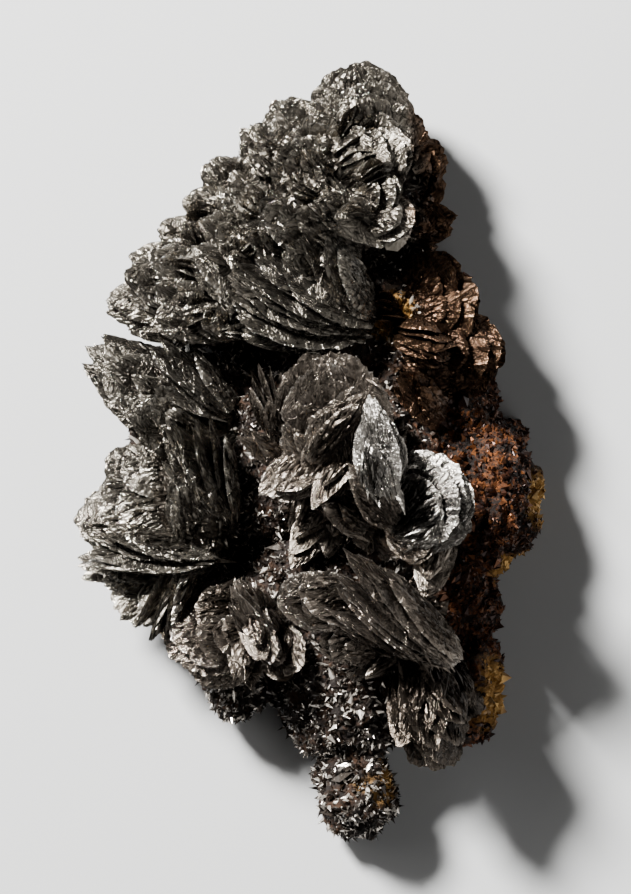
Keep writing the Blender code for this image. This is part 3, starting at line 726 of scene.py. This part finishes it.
def grow_sheaves(name, sheaves, hubs, seed, kinds, skin):
    """One group of crystals: for each sheaf, its lamellae and the shingles on them; and the hubs."""
    random = np.random.default_rng(seed)
    group = Crystals()
    for hub in hubs:
        grow_hub(group, hub, seed, random)
    for index, sheaf in enumerate(sheaves):
        count = max(2, round(sheaf.thick / LAMELLA))
        long = np.linalg.norm(np.subtract(sheaf.tip, sheaf.root))
        sides = zip((long, sheaf.width), skin.facet)
        rows, columns = [max(2, round(side / step / TOP_SQUARE)) for side, step in sides]
        fine = two_sided(columns, rows, CUTS, fine_top=True)
        columns = max(2, round(sheaf.width / COVERED_SQUARE[0]))
        rows = max(3, round(long / COVERED_SQUARE[1]))
        plain = two_sided(columns, rows, CUTS, fine_top=False)
        for number in range(count):
            top = number == count - 1
            own_seed = seed * 1000 + index * 37 + number
            unit_places, faces = fine if top else plain
            places, growth, shade = on_lamella(sheaf, number, count, own_seed, unit_places, skin)
            rim = np.hypot(unit_places[:, 0], unit_places[:, 2]) ** 5
            tone = random.random()
            group.add(places, faces, growth, rim, tone * 0.5 + shade * 0.5)
            area = math.pi / 4 * sheaf.width * long
            for kind in kinds:
                amount = max(2, int(area * kind.thickly * (1.0 if top else COVERED_SHARE)))
                heading = random.uniform(-ROOT_CLEAR, ROOT_CLEAR, amount)
                out = np.sqrt(random.uniform(0 if top else RIM_FROM**2, kind.outer**2, amount))
                upward = np.where(random.random(amount) < (0.95 if number else 0.4), 1, -1)
                on_ball = [out * np.sin(heading), upward * np.sqrt(1 - out**2), out * np.cos(heading)]
                vertices, blade_faces, growth, shades = shingles(sheaf, number, count, own_seed,
                                                                 np.stack(on_ball, axis=1), kind, skin)
                rim = np.repeat(out**6, kind.corners + 2)
                group.add(vertices, blade_faces, growth, rim, tone * 0.5 + shades * 0.5)
    return group.make(name)


NO_RUST = 99  # mm, an X past the specimen's edge
RUST_TINT = (0.42, 0.25, 0.16)


def crystal_finish(name, deep, body, pale, scaly, rusty_from=NO_RUST):
    """Dark, greasy to sub-metallic: streaked along the growth and pitted, with painted shade towards each
    lamella's middle and in the cracks between its scales, and painted highlight, pale, along its rims.

    scaly is how deep the gaps between its scales are, and right of the X rusty_from, in mm, it is stained.
    """
    made = Finish(name, {"Metallic": 0.93})
    place = made.place()
    along, across, rim, tone = [made.attribute(label) for label in ("along", "across", "rim", "tone")]
    fibres = made.noise(made.stretched(along * 0.25, across, tone), 1.0, 3, 0.65)
    grain = made.noise(place, 0.32 * MM, 3, 0.7)
    knobs = made.cells(place, 0.8 * MM)
    scales = made.cells(made.stretched(along * 0.85, across, tone), 1.0)
    patches = made.noise(place, 5 * MM, 2)
    # painted shade: rim * 0.4 darkens each lamella towards its middle, where lamellae meet, and scales * 0.5
    # darkens the cracks between scales; fibres, grain, tone and patches are the crystal's own streaks and
    # mottling
    shade = fibres * 0.6 + grain * 0.4 + tone * 0.35 + patches * 0.5 + rim * 0.4 - scales * 0.5
    colour = made.blend(made.ramp(shade, 0.48, 1.3), deep, body)
    # painted highlight: the pale colour mostly along the rims, where the light glints, with pale grains at
    # random
    colour = made.blend(made.ramp(rim * 0.5 + grain * 0.8 + tone * 0.25, 1.0, 1.5), colour, pale)
    worn = made.node("ShaderNodeMath", {"operation": "FRACT"}, {0: tone * 7})
    edge = made.node("ShaderNodeSeparateXYZ", {}, {"Vector": place}) * (1 / MM) + patches * 6
    colour = made.tint(made.ramp(edge, rusty_from, rusty_from + 5), colour, RUST_TINT)
    roughness = 0.09 + worn * 0.2 + made.ramp(patches + grain * 0.4, 0.5, 0.95) * 0.14
    relief = fibres * 0.5 + knobs * 0.35 + grain * 0.3 - scales * scaly
    return made.finish(colour, roughness, relief, 0.3 * MM)


crown = grow_sheaves("crown_sheaves", CROWN, CROWN_HUBS, seed=11, kinds=FLAKES, skin=SCALY)
SCALES = leaflets(CROWN_RIM + CROWN_FACE + CROWN_LUMPS, each=5, seed=23)
SCALES += [
    Sheaf((-13, 21.5, 15), (-25, 25, 20.5), (-0.2, 0.3, 1), 7.5, 4, 8, -0.04, 0.06, 0.1),
    Sheaf((-12, 20, 17), (-21, 23.5, 22.5), (-0.2, 0.3, 1), 6, 3, 8, -0.04, 0.06, 0.1),
    Sheaf((8.5, 33.5, 22.5), (16, 32, 25), (0.3, 0.3, 1), 7.5, 4.5, 10, -0.05, 0.08, 0.1),
    Sheaf((8, 35, 22), (13.6, 37.6, 26.5), (0.2, 0.3, 1), 6.5, 4, 10, -0.05, 0.08, 0.1),
]
crown_scales = grow_sheaves("crown_scales", SCALES, [], seed=21, kinds=FIBRES[1:], skin=SCALY)
RUSTY_GREY = crystal_finish("rusty_grey_crystal", deep=(0.02, 0.016, 0.012), body=(0.17, 0.151, 0.122),
                            pale=(0.8, 0.76, 0.7), scaly=0.65, rusty_from=15)
for piece in (crown, crown_scales):
    piece.data.materials.append(RUSTY_GREY)
    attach(piece, "root")
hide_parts("crown_crystals")


# ---- Shoulder crystals -----------------------------------------------------------------------------------
# Under the crown on the right: browner than the rest and set with bright points, over a yellowish tuft.
# They grew on the matrix and stop short of the crown.
SHOULDER = [
    Sheaf((13, 20, 12), (21.5, 27, 17), (0.2, 0.3, 1), 9, 6, 10, -0.05, 0.06, 0),
    Sheaf((14, 18, 12), (25, 21.6, 17), (0.3, 0.2, 1), 9, 7, 10, -0.05, 0.06, 0),
    Sheaf((15, 14, 12), (28.6, 14, 16), (0.2, 0.1, 1), 11, 8, 12, -0.05, 0.06, 0),
    Sheaf((15, 13, 12), (26.5, 9.4, 16), (0, -0.5, 0.8), 7, 5, 10, -0.05, 0.06, 0),
    Sheaf((15, 18, 13), (19, 14, 25), (0.3, 0.4, 0.8), 8, 6, 10, -0.05, 0.06, 0.1),
    Sheaf((20, 5, 14), (14, 11.4, 22), (0.3, 0.2, 1), 6, 4, 8, -0.03, 0.04, 0.5),
    Sheaf((11, 20, 13), (12.5, 20.5, 22), (0.2, 0.7, 0.3), 6, 4, 12, 0, 0.04, 0.2),
]
SHOULDER += [below(sheaf, 6) for sheaf in SHOULDER[:4]]
BROWN = crystal_finish("brown_crystal", deep=(0.026, 0.014, 0.008), body=(0.072, 0.039, 0.021),
                       pale=(0.24, 0.155, 0.1), scaly=0.65)
shoulder = grow_sheaves("shoulder_sheaves", SHOULDER, [Lump((17, 14, 13), (7, 8, 6))],
                        seed=12, kinds=FLAKES, skin=SCALY)
shoulder.data.materials.append(BROWN)
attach(shoulder, "root")
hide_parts("shoulder_crystals")


# ---- Left crystals ---------------------------------------------------------------------------------------
# The group down the left side, whose broad leaves face outwards. It has grown on the matrix's flank,
# parted from the crown by a cleft.
LEFT = [
    Sheaf((-14, 4, 13), (-30.8, 14.8, 15), (0.1, 0.3, 1), 12, 7, 8, -0.03, 0.05, 0.5),
    Sheaf((-10, 6, 16), (-21.5, 15, 20), (0.55, 0.75, 0.5), 7, 6, 9, 0.03, 0.04, 0.2),
    Sheaf((-13, 0, 15), (-22, 7, 23), (-0.3, 0.4, 0.8), 7, 5, 8, -0.06, 0.08, 0),
    Sheaf((-10, -9, 15), (-18.5, 5.4, 24), (0.85, 0.4, 0.35), 9, 8, 12, 0.03, 0.05, 0.3),
    Sheaf((-14, -3, 12), (-28.2, -3.4, 15), (-0.2, 0.35, 0.9), 9, 6, 8, -0.06, 0.08, 0),
    Sheaf((-14, -7, 12), (-31.6, -11, 15), (-0.1, 0.3, 1), 12, 7, 8, -0.06, 0.08, 0),
    Sheaf((-12, -14, 14), (-31, -15, 18), (0.05, 0.85, 0.5), 9, 6, 10, 0.03, 0.05, 0.2),
    Sheaf((-16, -14, 12), (-33.2, -16.5, 13), (0, 0.2, 1), 5, 4, 8, -0.04, 0.05, 0.2),
    Sheaf((-15, -12, 12), (-28, -19.5, 15), (-0.3, 0, 1), 6.5, 5, 8, -0.05, 0.08, 0),
    Sheaf((-16, -14, 12), (-25.2, -24.6, 15), (-0.3, 0, 1), 6.5, 5, 8, -0.05, 0.08, 0.1),
    Sheaf((-15, -13, 14), (-21.5, -27, 18), (0.8, -0.2, 0.45), 6, 5, 8, -0.03, 0.05, 0.2),
    Sheaf((-14, -13, 15), (-18.5, -3.5, 21), (0.1, 0.2, 1), 6.5, 4, 8, -0.03, 0.05, 0.3),
    Sheaf((-16, 2, 17), (-21.5, 7.5, 22), (-0.4, 0.2, 0.9), 6, 4, 8, -0.06, 0.08, 0),
]
LEFT += [below(LEFT[i], 5.5) for i in (0, 4, 5, 8, 9)]
left = grow_sheaves("left_sheaves", LEFT, [Lump((-15, -4, 13), (7, 13, 7))],
                    seed=13, kinds=FIBRES, skin=STREAKY)
# paler than the crown's finish: partly the group's own pale grey, partly painted highlight for its bright
# upper-left tips
PALE_GREY_HIGHLIT = crystal_finish("pale_grey_highlit_crystal", deep=(0.02, 0.016, 0.012), body=(0.2, 0.18, 0.148),
                           pale=(0.9, 0.87, 0.81), scaly=0.65)
left.data.materials.append(PALE_GREY_HIGHLIT)
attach(left, "root")
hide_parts("left_crystals")


# ---- Lower left crystals ---------------------------------------------------------------------------------
# A small group of bright, slim leaves, below the left one. They spring from a knob on the matrix's lower
# slope, and the two outermost are doubled on its flank.
LOWER_LEFT = [
    Sheaf((-6, -22, 13), (-19.6, -27, 17), (-0.2, 0.2, 1), 14, 7, 10, -0.06, 0.07, 0),
    Sheaf((-6, -24, 13), (-14.5, -32.8, 15), (-0.3, 0, 1), 8, 5, 8, -0.05, 0.07, 0),
    Sheaf((-4, -30, 18), (-10.8, -17.8, 26), (-0.5, -0.1, 0.8), 5, 3.5, 6, -0.03, 0.06, 0.4),
    Sheaf((-9, -18, 18), (-4.8, -29.8, 25), (0.2, 0.1, 1), 4.5, 3.5, 6, -0.03, 0.06, 0),
    Sheaf((-8, -22, 16), (-8.6, -33, 22), (0.3, -0.3, 0.9), 4.5, 3.5, 6, -0.04, 0.06, 0.1),
    Sheaf((-4, -24, 14), (-2, -31.8, 20), (0, -0.4, 0.9), 6.5, 4, 6, -0.04, 0.06, 0),
    Sheaf((-4, -27, 14), (-7, -18.4, 22), (0.6, 0.2, 0.7), 6, 4, 8, -0.04, 0.06, 0.3),
    Sheaf((-6, -25, 15), (-14.5, -26, 22), (-0.1, 0.1, 1), 7, 4, 8, -0.04, 0.06, 0),
]
LOWER_LEFT += [below(sheaf, 6) for sheaf in LOWER_LEFT[:2]]
TAUPE = crystal_finish("grey_brown_crystal", deep=(0.018, 0.013, 0.009), body=(0.178, 0.148, 0.119),
                       pale=(0.9, 0.85, 0.78), scaly=0.3)
lower_left = grow_sheaves("lower_left_sheaves", LOWER_LEFT, [Lump((-7, -25, 13), (6, 5.5, 6))],
                          seed=14, kinds=FIBRES, skin=STREAKY)
lower_left.data.materials.append(TAUPE)
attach(lower_left, "root")
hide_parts("lower_left_crystals")


# ---- Centre crystals -------------------------------------------------------------------------------------
# The tallest group, which stands out in the middle: a round leaf, a pointed bud and a curved fan. The bud
# and the fan, whose faces are the smoothest, have a brighter copy of the grey-brown finish: painted
# highlight, where their faces catch the light.
BUD_AND_FAN = [
    Sheaf((11, -6, 34.6), (10, 8, 35), (-0.35, 0.25, 0.9), 7.5, 5, 8, -0.05, 0.08, 0.4),
    Sheaf((11.8, -6, 29), (13, 6, 35), (0.6, 0, 0.8), 6, 4.5, 8, -0.04, 0.08, 0.4),
    Sheaf((12.5, -11, 26.5), (22.2, -2.4, 29.5), (-0.4, 0.1, 1), 14, 8, 10, -0.06, 0.07, 0),
]
CENTRE = [
    Sheaf((5, -6, 25), (4, 13.8, 33), (-0.15, 0.15, 1), 15.5, 9, 7, -0.04, 0.05, 0),
    Sheaf((1.2, -1.5, 30), (8.3, 9, 35.5), (0.35, -0.15, 0.95), 6, 3, 5, -0.03, 0.05, 0.15),
    Sheaf((12.8, -10, 29), (6.8, -1.4, 34.5), (-0.1, 0, 1), 5.5, 4, 8, -0.04, 0.06, 0.4),
    Sheaf((12, -10, 23), (18.4, -13, 29), (0, -0.2, 1), 7, 4, 8, -0.06, 0.07, 0),
    Sheaf((20, -8, 23), (17.5, -20, 25), (0, 0, 1), 5.5, 4, 6, -0.02, 0.05, 0.1),
    Sheaf((-2, 0, 24), (-4, 9.8, 31), (-0.4, 0, 1), 4.4, 3.5, 6, -0.04, 0.06, 0.2),
    Sheaf((-3, 1, 20), (-6.8, 12, 29), (-0.75, 0.4, 0.5), 7, 4, 8, -0.08, 0.1, 0.1),
    Sheaf((-1, -2, 21), (-9, 3.2, 26.5), (-0.2, 0.3, 1), 4, 3, 6, -0.04, 0.06, 0.5),
    Sheaf((3, -1.5, 27), (-3.6, 3.2, 31.5), (-0.2, 0, 1), 4, 2.5, 6, -0.04, 0.06, 0.3),
    Sheaf((4, 1, 24), (-5.4, -6.2, 28), (-0.35, 0.4, 0.9), 8, 4.5, 8, -0.04, 0.06, 0.2),
    Sheaf((6.5, 0.5, 28), (1.2, -7.6, 31), (-0.4, 0.25, 0.9), 4.6, 3.5, 6, -0.04, 0.06, 0.3),
    Sheaf((1, -3, 24), (-2, -10.5, 28.5), (0.8, -0.3, 0.4), 4, 2.2, 4, -0.04, 0.06, 0.4),
    Sheaf((9, -11, 22), (2.8, -7, 28), (0, 0.2, 1), 4.5, 3, 6, -0.04, 0.06, 0.4),
    Sheaf((4, -6, 17), (-2, -16, 20), (-0.3, 0.1, 1), 6, 4, 8, -0.04, 0.06, 0.3),
    Sheaf((5, -5, 17), (3.8, -15, 19), (0.3, 0, 1), 5.5, 4, 8, -0.04, 0.06, 0.2),
    Sheaf((8, -6, 18), (8.6, -14.5, 21), (-0.3, 0, 1), 5.5, 4, 8, -0.04, 0.06, 0.2),
    Sheaf((10, -7, 18), (13.5, -15.5, 20), (0.2, -0.1, 1), 5.5, 4, 8, -0.04, 0.06, 0.2),
]
SATIN = Skin((3.4, 0.8), (0.2, 0.45), 0.32, 0.35, 0.07, (0.6, 0.28))
# painted highlight: a brighter copy of the grey-brown finish, for the bud and the fan, whose faces catch the
# light
SILVER_HIGHLIGHT = crystal_finish("silver_highlight_crystal", deep=(0.012, 0.01, 0.008), body=(0.32, 0.295, 0.26),
                        pale=(1, 0.97, 0.92), scaly=0.3)
bud = grow_sheaves("bud_sheaves", BUD_AND_FAN, [], seed=22, kinds=FIBRES, skin=SATIN)
bud.data.materials.append(SILVER_HIGHLIGHT)
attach(bud, "root")
centre = grow_sheaves("centre_sheaves", CENTRE, [Lump((7, -2, 20), (10, 9, 9))],
                      seed=15, kinds=FIBRES, skin=SATIN)
centre.data.materials.append(TAUPE)
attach(centre, "root")
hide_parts("centre_crystals")


# ---- Slab crystals ---------------------------------------------------------------------------------------
# A long diagonal slab of lamellae and the leaves beside it, under the middle. They are as grey-brown as
# the lower left group, and spring from a knob of their own on the matrix.
SLAB = [
    Sheaf((9, -21, 22), (-3, -19.6, 28), (-0.1, 0.35, 0.95), 9, 6, 8, -0.05, 0.07, 0),
    Sheaf((22, -29, 22), (4.5, -15.4, 32), (0.5, 0.65, 0.6), 9, 7, 7, 0.02, 0.05, 0.3),
    Sheaf((17, -28, 21), (3.6, -21.6, 29), (0.4, 0.75, 0.5), 7, 5.5, 9, 0.02, 0.05, 0.3),
    Sheaf((14, -26, 18), (2.8, -26.6, 25), (0, -0.2, 1), 7, 4, 6, -0.04, 0.06, 0),
    Sheaf((14, -27, 17), (6, -32.6, 23), (0.1, -0.5, 0.8), 4, 3.5, 6, -0.04, 0.06, 0.2),
]
slab = grow_sheaves("slab_sheaves", SLAB, [Lump((12, -23, 17), (8, 5, 8))],
                    seed=16, kinds=FIBRES, skin=STREAKY)
slab.data.materials.append(TAUPE)
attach(slab, "root")
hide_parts("slab_crystals")


# ---- Block crystals --------------------------------------------------------------------------------------
# A block of upright lamellae at the lower right, beside the stalk. It is darker than the other groups:
# painted shade, a darker copy of the grey-brown finish for the shade that the slab above casts on it. It grew
# on the matrix where the rusty flank ends.
BLOCK = [
    Sheaf((17, -28, 14), (19.5, -44.6, 18), (0.75, 0.15, 0.65), 12, 10, 14, -0.02, 0.04, 0),
    Sheaf((17, -27, 16), (15, -42, 21), (-0.3, 0, 1), 7, 5, 6, -0.03, 0.05, 0),
    Sheaf((19, -28, 13), (24.6, -38, 15), (0.6, 0, 0.8), 7, 5, 8, -0.03, 0.05, 0.1),
]
block = grow_sheaves("block_sheaves", BLOCK, [Lump((18, -33, 12), (4.5, 6.5, 5.5))],
                     seed=17, kinds=FIBRES, skin=STREAKY)
# painted shade: the grey-brown finish darkened, for the shade that the slab above casts on the block
SHADED_DUSKY = crystal_finish("shaded_dusky_crystal", deep=(0.01, 0.007, 0.005), body=(0.08, 0.063, 0.048),
                       pale=(0.4, 0.36, 0.3), scaly=0.3)
block.data.materials.append(SHADED_DUSKY)
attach(block, "root")
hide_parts("block_crystals")


# ---- Studio ---------------------------------------------------------------------------------------------
# A pale floor, which isn't part of the specimen, a key light from the upper left, a weak fill on either
# side, and the camera, which looks straight down on the specimen as it lies on its back.
FLOOR_SIZE, FLOOR_GREY = 3.0, (0.34, 0.34, 0.335, 1)
AIR_GREY = (0.055, 0.055, 0.057, 1)
KEY_PLACE, KEY_SIZE, KEY_POWER = (-0.45, 0.5, 0.55), 0.16, 74
FILL_PLACE, FILL_SIZE, FILL_POWER = (-0.9, 0.4, 0.75), 0.7, 3
SHADE_PLACE, SHADE_SIZE, SHADE_POWER = (0.7, -0.55, 0.5), 0.8, 3.6
CAMERA_HEIGHT, FOCUS_HEIGHT = 1.3, 0.018
PIXEL = 110 / 779  # mm: the specimen is 110 mm long, and 779 pixels
PICTURE_PIXELS, PICTURE_MIDDLE, SPECIMEN_MIDDLE = 894, (315.5, 447), (302.5, 452.5)
FRAME_MM = PICTURE_PIXELS * PIXEL
FRAME_RIGHT = (PICTURE_MIDDLE[0] - SPECIMEN_MIDDLE[0]) * PIXEL
FRAME_UP = (SPECIMEN_MIDDLE[1] - PICTURE_MIDDLE[1]) * PIXEL
SENSOR = 24

floor_shape = bmesh.new()
bmesh.ops.create_grid(floor_shape, x_segments=1, y_segments=1, size=FLOOR_SIZE / 2)
floor_mesh = bpy.data.meshes.new("floor")
floor_shape.to_mesh(floor_mesh)
floor_shape.free()
floor = bpy.data.objects.new("floor", floor_mesh)
bpy.context.scene.collection.objects.link(floor)
floor.data.materials.append(Finish("pale_floor", {"Base Color": FLOOR_GREY, "Roughness": 0.8}).material)


def soft_light(name, place, size, power):
    """A square light that points at the specimen."""
    light = bpy.data.lights.new(name, "AREA")
    light.size = size
    light.energy = power
    made = bpy.data.objects.new(name, light)
    bpy.context.scene.collection.objects.link(made)
    made.location = place
    made.rotation_euler = (-Vector(place)).to_track_quat("-Z", "Y").to_euler()


soft_light("key", KEY_PLACE, KEY_SIZE, KEY_POWER)
soft_light("fill", FILL_PLACE, FILL_SIZE, FILL_POWER)
soft_light("shade_fill", SHADE_PLACE, SHADE_SIZE, SHADE_POWER)
world = bpy.data.worlds.new("studio")
world.use_nodes = True
world.node_tree.nodes["Background"].inputs["Color"].default_value = AIR_GREY
bpy.context.scene.world = world

camera = bpy.data.cameras.new("camera")
camera.sensor_fit = "VERTICAL"
camera.sensor_height = SENSOR
camera.lens = SENSOR * (CAMERA_HEIGHT - FOCUS_HEIGHT) / (FRAME_MM * MM)
viewer = bpy.data.objects.new("camera", camera)
bpy.context.scene.collection.objects.link(viewer)
viewer.location = ((FRAME_RIGHT - MIDDLE[0]) * MM, (FRAME_UP - MIDDLE[1]) * MM, CAMERA_HEIGHT)
bpy.context.scene.camera = viewer
